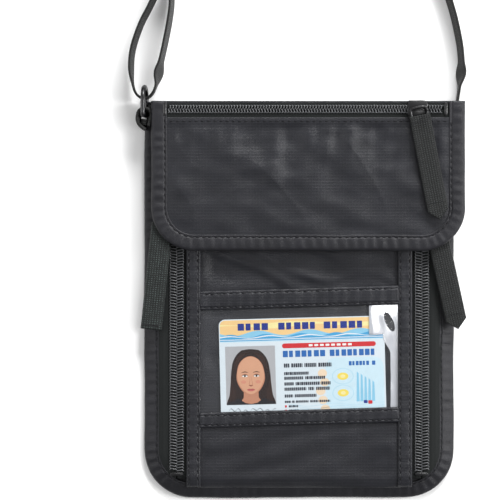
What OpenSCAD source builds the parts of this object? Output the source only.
// Neck pouch wallet, lying on its back with its front up.
// Millimetres. +X is the pouch's right, +Y its top edge, +Z comes out of its front.
// The origin is the centre of the back face.

/* [Pouch] */
// Width of the pouch
pouch_w = 160; // [156:1:164]
// Height of the pouch, without the ring
pouch_h = 205; // [203:1:207]
// Radius of the two bottom corners
corner_r = 25; // [15:1:30]
// Width of the tape bound round the edge
binding_w = 7.5; // [6:0.5:8]
// Free height inside the main compartment
room_h = 4.7; // [4.5:0.1:6]

/* [Flap] */
// Width of the flap
flap_w = 161; // [158:1:163]
// How far the flap sits to the right of the pouch's middle
flap_shift = 4.5; // [3.5:0.5:5]
// Length of the flap, from its hinge to its bottom edge
flap_l = 77; // [75:1:80]
// Radius of the flap's two bottom corners
flap_corner_r = 22; // [16:1:24]

/* [Window] */
// Width of the window pocket
window_w = 102; // [98:1:103]
// Height of the clear window between its two hems
window_h = 53; // [50:1:55]
// Height of the bottom edge of the window above the pouch's bottom edge
window_rise = 44; // [42:1:46]
// Width of the two window hems, the lower and the upper
hem_widths = [8, 10];

/* [Card] */
// Size of the identity card
card_size = [85.6, 54, 0.76];
// Tilt of the card in the window
card_tilt = 1.5; // [0:0.5:2]

/* [Zips] */
// Width of a closed coil
coil_w = 7.2; // [6.5:0.1:7.4]
// Distance of the side zips from the pouch's side edges
zip_inset = 16.6; // [16:0.1:17]
// Length of a side coil
side_coil_l = 136; // [130:1:138]
// Length of the top coil
top_coil_l = 142; // [130:1:144]
// Distance of the side sliders from the pouch's middle, along Y
side_slider_y = 44; // [42:1:46]
// Place of the top slider, along X
top_slider_x = 61; // [56:1:62]

/* [Pulls] */
// Width of the webbing pulls
pull_w = 11; // [9:0.5:12]
// Thickness of a folded webbing pull
pull_t = 2.2; // [1.6:0.1:2.2]
// Length of the two side pulls
side_pull_l = 54; // [50:1:56]
// Length of the top pull
top_pull_l = 58; // [50:1:62]
// Lean of the left, right and top pulls away from straight down
pull_leans = [6, 12.5, 11];
// Outward turn of the left and right sliders' tabs
tab_turns = [56, 49];

/* [Strap] */
// Width and thickness of the neck strap's webbing
strap_size = [10, 1.2];
// Thickness of the ring's wire
ring_wire = 2.6; // [2.2:0.1:2.8]
// Clear width inside the ring
ring_gap = 11; // [10.6:0.2:12]

/* [Hidden] */
$fn = 48;

// Colours
black_cloth = [0.16, 0.16, 0.18];
edge_cloth = [0.22, 0.22, 0.25];
tape_grey = [0.15, 0.17, 0.17];
coil_grey = [0.25, 0.25, 0.27];
webbing_grey = [0.2, 0.21, 0.2];
black_metal = [0.08, 0.08, 0.09];

// Thicknesses of the layers
cloth_t = 0.6;
lining_t = 0.3;
panel_t = 0.5;
tape_t = 0.4;
coil_t = 1.3;
plate_t = 0.7;
under_plate_t = 0.4;
vinyl_t = 0.25;
play = 0.2;

// Heights of the layers above the back face
z_room = cloth_t + lining_t;
z_divider = z_room + room_h;
z_under_plate = z_divider + lining_t + play;
z_tape = z_under_plate + under_plate_t + play;
z_coil = z_tape + tape_t;
z_plate = z_coil + coil_t + play;
z_pull = z_plate + plate_t + play;
z_card = z_tape + panel_t + 0.3;
z_vinyl = z_card + card_size[2] + 0.3;
z_flap = z_pull + pull_t + 0.4;

// Places along X and Y
half_w = pouch_w / 2;
half_h = pouch_h / 2;
notch_x = 3.5;
notch_y = 11;
panel_inset = 1.2;
panel_edge_x = window_w / 2;
strip_w = 7.4;
zip_x = half_w - zip_inset;
row_gap = 1;
row_w = (coil_w - row_gap) / 2;
side_coil_y = -half_h + 16;
slider_l = 11;
slider_w = 9;
mouth_h = 14.5;
mouth_y = half_h - mouth_h;
window_y = -half_h + window_rise;

// Flap layers
flap_x = flap_shift - flap_w / 2;
flap_y = half_h - flap_l;
flap_lip = 8;
z_flap_lining = z_flap + 0.4;
z_flap_under_plate = z_flap_lining + lining_t + play;
z_flap_tape = z_flap_under_plate + under_plate_t + play;
flap_cloth_t = 0.8;
z_flap_coil = z_flap_tape + tape_t;
z_flap_plate = z_flap_coil + coil_t + play;
z_flap_bar = z_flap_plate + plate_t + 1.8;
zip_band = 9;
top_zip_y = half_h - 4.2;

// Ring, its tab and the strap
ring_x = -half_w;
ring_bar_y = half_h - 7;
ring_leg = 8.5;
ring_r = ring_gap / 2 + ring_wire / 2;
ring_z = ring_r + ring_wire / 2 + 0.1;
anchor_x = half_w + 1.5;
anchor_top = half_h - 2;

// The strap coil: its centre, inner and outer radius and height
coil_centre = [-20, 246];
coil_radii = [46.5, 61];
coil_h = strap_size[0] + 0.2;

// The strap's route from the right anchor to its coil
right_route = [
    [81.5, 100.5, 5.1], [83, 110, 5.1], [84, 120, 5.1], [83.5, 130, 5.1], [81.5, 141, 5.1],
    [79, 151, 5.1], [75, 163, 5.1], [69, 177, 5.1], [61, 192, 5.1], [52, 208, 5.1],
    [45, 223, 5.1], [41, 236, 5.1], [40, 246, 5.1]
];
// The route from the coil, over its turns, down to the adjuster, through the ring and back
left_route = [
    [-64, 265, 12], [-67, 255, 15], [-68, 246, 16], [-68, 234, 16], [-68, 222, 16],
    [-68, 210, 16], [-68, 200, 14], [-68.5, 190, 10.5], [-69.5, 181, 8], [-70.5, 170, 7.5],
    [-73, 161, 7.5], [-77, 152, 7.8], [-82, 142, 8.2], [-86, 130, 8.2], [-87, 120, 8.2],
    [-86, 111, 8.2], [-84, 106, 8.2], [-80, 104, 8.2], [-77, 106.3, 8.2], [-75, 111, 8.2],
    [-72.5, 120, 8.2], [-69.5, 132, 8.2], [-67, 145, 8], [-66, 155, 7.6], [-67.1, 165, 7.5]
];

// ---- helpers ----

// A box given by its low corner and its high corner
module block(low, high) {
    translate(low) cube([for (i = [0:2]) high[i] - low[i]]);
}

// The pouch's outline: round bottom corners, notched top corners, inset by a margin
module pouch_outline(inset = 0) {
    w = half_w - inset;
    r = corner_r - inset;
    notch = half_h - notch_y;
    for (side = [-1, 1])
        translate([side * (w - r), -half_h + inset + r]) circle(r);
    translate([-w + r, -half_h + inset]) square([2 * (w - r), r]);
    translate([-w, -half_h + inset + r]) square([2 * w, notch + half_h - inset - r]);
    translate([-w + notch_x, notch - 1]) square([2 * (w - notch_x), notch_y + 1]);
}

// The flap's outline: round bottom corners, inset by a margin on three sides
module flap_outline(inset = 0) {
    w = flap_w - 2 * inset;
    r = flap_corner_r - inset;
    translate([flap_x + inset, flap_y + inset]) {
        for (x = [r, w - r])
            translate([x, r]) circle(r);
        translate([r, 0]) square([w - 2 * r, r]);
        translate([0, r]) square([w, flap_l - inset - r]);
    }
}

// One tape of a side zip, from x0 to x1, counted outwards from the pouch's middle
module side_tape(side, x0, x1) {
    color(tape_grey)
        mirror([side < 0 ? 1 : 0, 0, 0])
            translate([0, 0, z_tape])
                linear_extrude(tape_t)
                    intersection() {
                        pouch_outline(panel_inset);
                        translate([x0, side_coil_y - 5]) square([x1 - x0, mouth_y - side_coil_y + 5]);
                    }
}

// One row of a side coil
module side_row(side, outward) {
    x = outward > 0 ? row_gap / 2 : -row_gap / 2 - row_w;
    color(coil_grey)
        mirror([side < 0 ? 1 : 0, 0, 0])
            translate([zip_x + x, side_coil_y, z_coil])
                cube([row_w, side_coil_l, coil_t]);
}

// The metal stops at the two ends of a side coil
module side_stops(side) {
    color(black_metal)
        mirror([side < 0 ? 1 : 0, 0, 0])
            for (y = [side_coil_y - 2, side_coil_y + side_coil_l])
                translate([zip_x - coil_w / 2, y, z_coil])
                    cube([coil_w, 2, coil_t]);
}

// A slider's body along Y: top plate, two flanges, the web between the rows, under plate
module slider_body() {
    inner = coil_w / 2 + 0.25;
    color(black_metal) {
        block([-slider_w / 2, -slider_l / 2, coil_t + play],
              [slider_w / 2, slider_l / 2, coil_t + play + plate_t]);
        for (side = [0, 1])
            mirror([side, 0, 0])
                block([inner, -slider_l / 2, play], [slider_w / 2, slider_l / 2, coil_t + play]);
        block([-0.25, 1, -tape_t - play - under_plate_t], [0.25, 4, coil_t + play]);
        block([-4, -4.5, -tape_t - play - under_plate_t], [4, 4.5, -tape_t - play]);
    }
}

// The arch on a side slider that holds the tab
module slider_arch() {
    low = coil_t + play + plate_t;
    color(black_metal) {
        for (y = [-3.7, 2.7])
            block([-0.9, y, low], [0.9, y + 1, low + 1.2]);
        block([-0.9, -3.7, low + 1.2], [0.9, 3.7, low + 2]);
    }
}

// A tab: a wire link from the arch to the webbing, lying along -Y from its pin
tab_l = 9;
tab_wire = 0.5;
tab_half = 4.4;
module tab_link() {
    color(black_metal) {
        for (y = [0, -tab_l])
            translate([-tab_half, y, 0])
                rotate([0, 90, 0]) cylinder(r = tab_wire, h = 2 * tab_half);
        for (x = [-tab_half, tab_half]) {
            translate([x, 0, 0]) rotate([90, 0, 0]) cylinder(r = tab_wire, h = tab_l);
            for (y = [0, -tab_l])
                translate([x, y, 0]) sphere(tab_wire);
        }
    }
}

// A length of webbing pull along -Y from y0 to y1, with a pointed end if asked
module webbing(y0, y1, pointed) {
    point = pointed ? 5 : 0;
    color(webbing_grey)
        linear_extrude(pull_t)
            polygon([
                [-pull_w / 2, -y0], [pull_w / 2, -y0], [pull_w / 2, -y1 + point],
                [0, -y1], [-pull_w / 2, -y1 + point]
            ]);
}

// Where a side pull's tab starts and how it turns outwards
fold_at = 13.5;
fold_gap = 0.4;
function turn_of(side) = tab_turns[side < 0 ? 0 : 1];
function lean_of(side) = pull_leans[side < 0 ? 0 : 1];
module at_tab(side) {
    translate([side * zip_x, side_slider_y, 0])
        rotate([0, 0, side * turn_of(side)]) children();
}
module at_pull(side) {
    at_tab(side)
        translate([0, -tab_l, z_pull])
            rotate([0, 0, side * (lean_of(side) - turn_of(side))])
                translate([0, -tab_wire - 0.1, 0]) children();
}

// ---- pouch ----

module back_panel() {
    color(black_cloth) linear_extrude(cloth_t) pouch_outline(panel_inset);
}

module inner_lining() {
    color(edge_cloth) translate([0, 0, cloth_t])
        linear_extrude(lining_t)
            intersection() {
                pouch_outline(panel_inset);
                translate([-half_w, -half_h]) square([pouch_w, pouch_h - 1.5]);
            }
}

module pocket_divider() {
    color(edge_cloth) translate([0, 0, z_divider])
        linear_extrude(lining_t)
            intersection() {
                pouch_outline(panel_inset);
                translate([-half_w, -half_h]) square([pouch_w, pouch_h - mouth_h]);
            }
}

module front_panel() {
    color(black_cloth)
        block([-panel_edge_x, -half_h + binding_w + 0.5, z_tape],
              [panel_edge_x, mouth_y, z_tape + panel_t]);
}

// The wall round the sides and bottom, and the lip that it folds onto the front
module edge_binding() {
    lip_z = z_tape + tape_t;
    top_y = half_h - notch_y;
    color(edge_cloth) {
        intersection() {
            translate([-half_w, -half_h, 0]) cube([pouch_w, top_y + half_h, lip_z + cloth_t]);
            union() {
                linear_extrude(lip_z)
                    difference() {
                        pouch_outline();
                        pouch_outline(panel_inset);
                    }
                translate([0, 0, lip_z])
                    linear_extrude(cloth_t)
                        difference() {
                            pouch_outline();
                            pouch_outline(binding_w);
                        }
            }
        }
    }
}

module top_collar() {
    w = half_w - panel_inset - notch_x;
    color(black_cloth)
        block([-w, half_h - 1.5, cloth_t], [w, half_h, z_flap - 0.3]);
}

module window_top_hem() {
    y = window_y + window_h;
    color(edge_cloth)
        block([-panel_edge_x, y, z_vinyl], [panel_edge_x, y + hem_widths[1], z_vinyl + 0.9]);
}

module window_vinyl() {
    color([0.8, 0.85, 0.9, 0.35])
        block([-panel_edge_x, window_y, z_vinyl],
              [panel_edge_x, window_y + window_h, z_vinyl + vinyl_t]);
}

module window_bottom_hem() {
    color(edge_cloth)
        block([-panel_edge_x, window_y - hem_widths[0], z_vinyl],
              [panel_edge_x, window_y, z_vinyl + 0.9]);
}

module lower_pocket_panel() {
    color(black_cloth)
        block([-panel_edge_x, -half_h + binding_w + 0.5, z_tape + panel_t],
              [panel_edge_x, window_y - hem_widths[0], z_vinyl]);
}

module strip(side) {
    color(black_cloth)
        mirror([side < 0 ? 1 : 0, 0, 0])
            block([panel_edge_x, -half_h + binding_w + 0.5, z_tape + tape_t],
                  [panel_edge_x + strip_w, mouth_y, z_vinyl + 0.4]);
}
module left_strip() { strip(-1); }
module right_strip() { strip(1); }

module front_loop_patch() {
    color(webbing_grey)
        block([-22, half_h - 54, z_tape + panel_t], [22, half_h - 38, z_tape + panel_t + 1.2]);
}

// ---- side zips ----

tape_in = zip_x - row_gap / 2;
tape_out = zip_x + row_gap / 2;
tape_edge = half_w - panel_inset;

module left_zip_outer_tape() { side_tape(-1, tape_out, tape_edge - notch_x); }
module left_zip_inner_tape() { side_tape(-1, panel_edge_x, tape_in); }
module left_zip_outer_coil() { side_row(-1, 1); }
module left_zip_inner_coil() { side_row(-1, -1); }
module left_zip_stops() { side_stops(-1); }
module right_zip_outer_tape() { side_tape(1, tape_out, tape_edge - notch_x); }
module right_zip_inner_tape() { side_tape(1, panel_edge_x, tape_in); }
module right_zip_outer_coil() { side_row(1, 1); }
module right_zip_inner_coil() { side_row(1, -1); }
module right_zip_stops() { side_stops(1); }

module side_slider(side) {
    translate([side * zip_x, side_slider_y, z_coil]) {
        slider_body();
        slider_arch();
    }
}
module side_tab(side) {
    at_tab(side)
        translate([0, 0, z_plate + plate_t + tab_wire + 0.1]) tab_link();
}
module side_pull_base(side) {
    at_pull(side) webbing(4.2, fold_at - fold_gap, false);
}
module side_pull_end(side) {
    at_pull(side) webbing(fold_at, side_pull_l, side > 0);
}

module left_zip_slider() { side_slider(-1); }
module left_zip_tab() { side_tab(-1); }
module left_pull_base() { side_pull_base(-1); }
module left_pull_end() { side_pull_end(-1); }
module right_zip_slider() { side_slider(1); }
module right_zip_tab() { side_tab(1); }
module right_pull_base() { side_pull_base(1); }
module right_pull_end() { side_pull_end(1); }

// ---- flap and its zip ----

module flap_lining() {
    color(edge_cloth) translate([0, 0, z_flap_lining])
        linear_extrude(lining_t) flap_outline(0.8);
}

module flap_outer() {
    color(black_cloth) translate([0, 0, z_flap_tape])
        linear_extrude(flap_cloth_t)
            intersection() {
                flap_outline(0.8);
                translate([flap_x, flap_y]) square([flap_w, flap_l - zip_band]);
            }
}

// The binding round the flap: a wall and a lip on each face
module flap_binding() {
    top = z_flap_tape + flap_cloth_t;
    color(edge_cloth) {
        translate([0, 0, z_flap_lining - 0.4])
            linear_extrude(0.4) difference() { flap_outline(); flap_outline(flap_lip); }
        translate([0, 0, z_flap_lining])
            linear_extrude(top - z_flap_lining)
                difference() { flap_outline(); flap_outline(0.8); }
        translate([0, 0, top])
            linear_extrude(0.4)
                intersection() {
                    difference() { flap_outline(); flap_outline(flap_lip); }
                    translate([flap_x, flap_y]) square([flap_w, flap_l - zip_band]);
                }
    }
}

module flap_hook_patch() {
    color(webbing_grey)
        block([-22, half_h - 54, z_flap_lining - 1], [22, half_h - 38, z_flap_lining]);
}

module top_tape(y0, y1) {
    color(tape_grey)
        block([flap_x + 0.8, y0, z_flap_tape], [flap_x + flap_w - 0.8, y1, z_flap_tape + tape_t]);
}
module top_zip_lower_tape() { top_tape(half_h - zip_band, top_zip_y - row_gap / 2); }
module top_zip_upper_tape() { top_tape(top_zip_y + row_gap / 2, half_h); }

top_coil_x = flap_shift - top_coil_l / 2 - 1.5;
module top_row(y) {
    color(coil_grey)
        block([top_coil_x, y, z_flap_coil], [top_coil_x + top_coil_l, y + row_w, z_flap_coil + coil_t]);
}
module top_zip_lower_coil() { top_row(top_zip_y - row_gap / 2 - row_w); }
module top_zip_upper_coil() { top_row(top_zip_y + row_gap / 2); }

module top_zip_stops() {
    color(black_metal)
        for (x = [top_coil_x - 2, top_coil_x + top_coil_l])
            block([x, top_zip_y - coil_w / 2, z_flap_coil],
                  [x + 2, top_zip_y + coil_w / 2, z_flap_coil + coil_t]);
}

// The top slider: its body turned along X, and a round bar that the webbing hangs on
bar_r = 0.7;
bar_half = 3.9;
module top_zip_slider() {
    translate([top_slider_x, top_zip_y, z_flap_coil])
        rotate([0, 0, -90]) slider_body();
    color(black_metal) {
        translate([top_slider_x - bar_half, top_zip_y, z_flap_bar])
            rotate([0, 90, 0]) cylinder(r = bar_r, h = 2 * bar_half);
        for (x = [-bar_half - 0.5, bar_half - 0.5])
            block([top_slider_x + x, top_zip_y - 1.1, z_flap_plate + plate_t],
                  [top_slider_x + x + 1, top_zip_y + 1.1, z_flap_bar + 0.8]);
    }
}

// The top pull: a loop of webbing round the slider's bar, then the leaning strip
loop_in = bar_r + 0.1;
loop_out = 1.7;
module top_zip_pull() {
    color(webbing_grey)
        translate([top_slider_x, top_zip_y, z_flap_bar]) {
            rotate([0, 90, 0])
                translate([0, 0, -2.5])
                    difference() {
                        cylinder(r = loop_out, h = 5);
                        translate([0, 0, -1]) cylinder(r = loop_in, h = 7);
                    }
            rotate([0, 0, pull_leans[2]])
                translate([0, -4.6, -pull_t / 2]) webbing(0, top_pull_l - 4.6, true);
            block([-2.5, -5, -pull_t / 2], [2.5, -loop_out + 0.4, pull_t / 2]);
        }
}

// ---- card ----

module id_card() {
    centre_y = -half_h + 65;
    color([0.85, 0.88, 0.9])
        translate([1.7, centre_y, z_card])
            rotate([0, 0, card_tilt])
                linear_extrude(card_size[2])
                    for (turn = [0, 1])
                        card_outline();
}
module card_outline() {
    r = 3;
    w = card_size[0] / 2;
    h = card_size[1] / 2;
    translate([-w + r, -h]) square([2 * (w - r), 2 * h]);
    translate([-w, -h + r]) square([2 * w, 2 * (h - r)]);
    for (x = [-w + r, w - r], y = [-h + r, h - r])
        translate([x, y]) circle(r);
}

// ---- ring, anchor and strap ----

// The webbing tab sewn to the pouch's top left corner, looped round the ring's bar
module ring_tab() {
    half = strap_size[0] / 2;
    clear_r = ring_wire / 2 + 0.1;
    color(webbing_grey) {
        translate([ring_x, ring_bar_y, ring_z - half])
            difference() {
                cylinder(r = clear_r + 1.1, h = 2 * half);
                translate([0, 0, -1]) cylinder(r = clear_r, h = 2 * half + 2);
            }
        translate([ring_x, ring_bar_y, ring_z - half])
            block([-2.4, -11, 0], [0, -clear_r - 0.6, 2 * half]);
    }
}

// The ring: a straight bar in the tab, two legs and a half round
module d_ring() {
    r = ring_wire / 2;
    color(black_metal)
        translate([ring_x, ring_bar_y, ring_z]) {
            translate([0, 0, -ring_r]) cylinder(r = r, h = 2 * ring_r);
            for (z = [-ring_r, ring_r])
                translate([0, 0, z]) {
                    sphere(r);
                    rotate([-90, 0, 0]) cylinder(r = r, h = ring_leg);
                }
            translate([0, ring_leg, 0])
                rotate([0, 90, 0])
                    rotate_extrude(angle = 180)
                        translate([ring_r, 0]) circle(r, $fn = 24);
        }
}

module strap_anchor() {
    color(webbing_grey)
        block([half_w - notch_x + 0.2, half_h - notch_y + 0.5, 0.1],
              [anchor_x + 2.8, anchor_top, strap_size[0] + 0.1]);
}

// Sweeps the strap's flat section, standing on edge, along a list of points
function flat(v) = let (n = norm([v[0], v[1]])) [v[0] / n, v[1] / n];
function heading(path, i) =
    flat(path[min(i + 1, len(path) - 1)] - path[max(i - 1, 0)]);
section = [
    [-0.5, -0.44], [-0.3, -0.5], [0.3, -0.5], [0.5, -0.44],
    [0.5, 0.44], [0.3, 0.5], [-0.3, 0.5], [-0.5, 0.44]
];
module strap_tube(path) {
    sides = len(section);
    last = len(path) - 1;
    points = [
        for (i = [0:last], s = section)
            let (h = heading(path, i))
                path[i] + [
                    -h[1] * s[0] * strap_size[1],
                    h[0] * s[0] * strap_size[1],
                    s[1] * strap_size[0]
                ]
    ];
    walls = [
        for (i = [0:last - 1], k = [0:sides - 1])
            let (n = (k + 1) % sides)
                [i * sides + k, i * sides + n, (i + 1) * sides + n, (i + 1) * sides + k]
    ];
    ends = [
        [for (k = [sides - 1:-1:0]) k],
        [for (k = [0:sides - 1]) last * sides + k]
    ];
    color(webbing_grey) polyhedron(points, concat(walls, ends), convexity = 10);
}

module strap_right_run() { strap_tube(right_route); }
module strap_left_run() { strap_tube(left_route); }

module strap_coil() {
    color(webbing_grey)
        translate([coil_centre[0], coil_centre[1], 0.1])
            rotate_extrude($fn = 96)
                translate([coil_radii[0], 0])
                    square([coil_radii[1] - coil_radii[0], coil_h]);
}

// The three-bar adjuster that the strap doubles back through, standing on edge
module strap_adjuster() {
    half_z = strap_size[0] / 2 + 2;
    bar = 2.4;
    color(black_metal)
        translate([-68.8, 169, half_z + 0.1]) {
            for (y = [-8.5, -bar / 2, 8.5 - bar])
                block([-1.1, y, -half_z], [1.1, y + bar, half_z]);
            for (z = [-half_z, half_z - 1.7])
                block([-1.1, -8.5, z], [1.1, 8.5, z + 1.7]);
        }
}

back_panel();
inner_lining();
pocket_divider();
front_panel();
edge_binding();
top_collar();
window_top_hem();
window_vinyl();
window_bottom_hem();
lower_pocket_panel();
left_strip();
right_strip();
front_loop_patch();
left_zip_outer_tape();
left_zip_inner_tape();
left_zip_outer_coil();
left_zip_inner_coil();
left_zip_stops();
left_zip_slider();
left_zip_tab();
left_pull_base();
left_pull_end();
right_zip_outer_tape();
right_zip_inner_tape();
right_zip_outer_coil();
right_zip_inner_coil();
right_zip_stops();
right_zip_slider();
right_zip_tab();
right_pull_base();
right_pull_end();
flap_outer();
flap_lining();
flap_binding();
flap_hook_patch();
top_zip_lower_tape();
top_zip_upper_tape();
top_zip_lower_coil();
top_zip_upper_coil();
top_zip_stops();
top_zip_slider();
top_zip_pull();
id_card();
ring_tab();
d_ring();
strap_anchor();
strap_right_run();
strap_coil();
strap_left_run();
strap_adjuster();
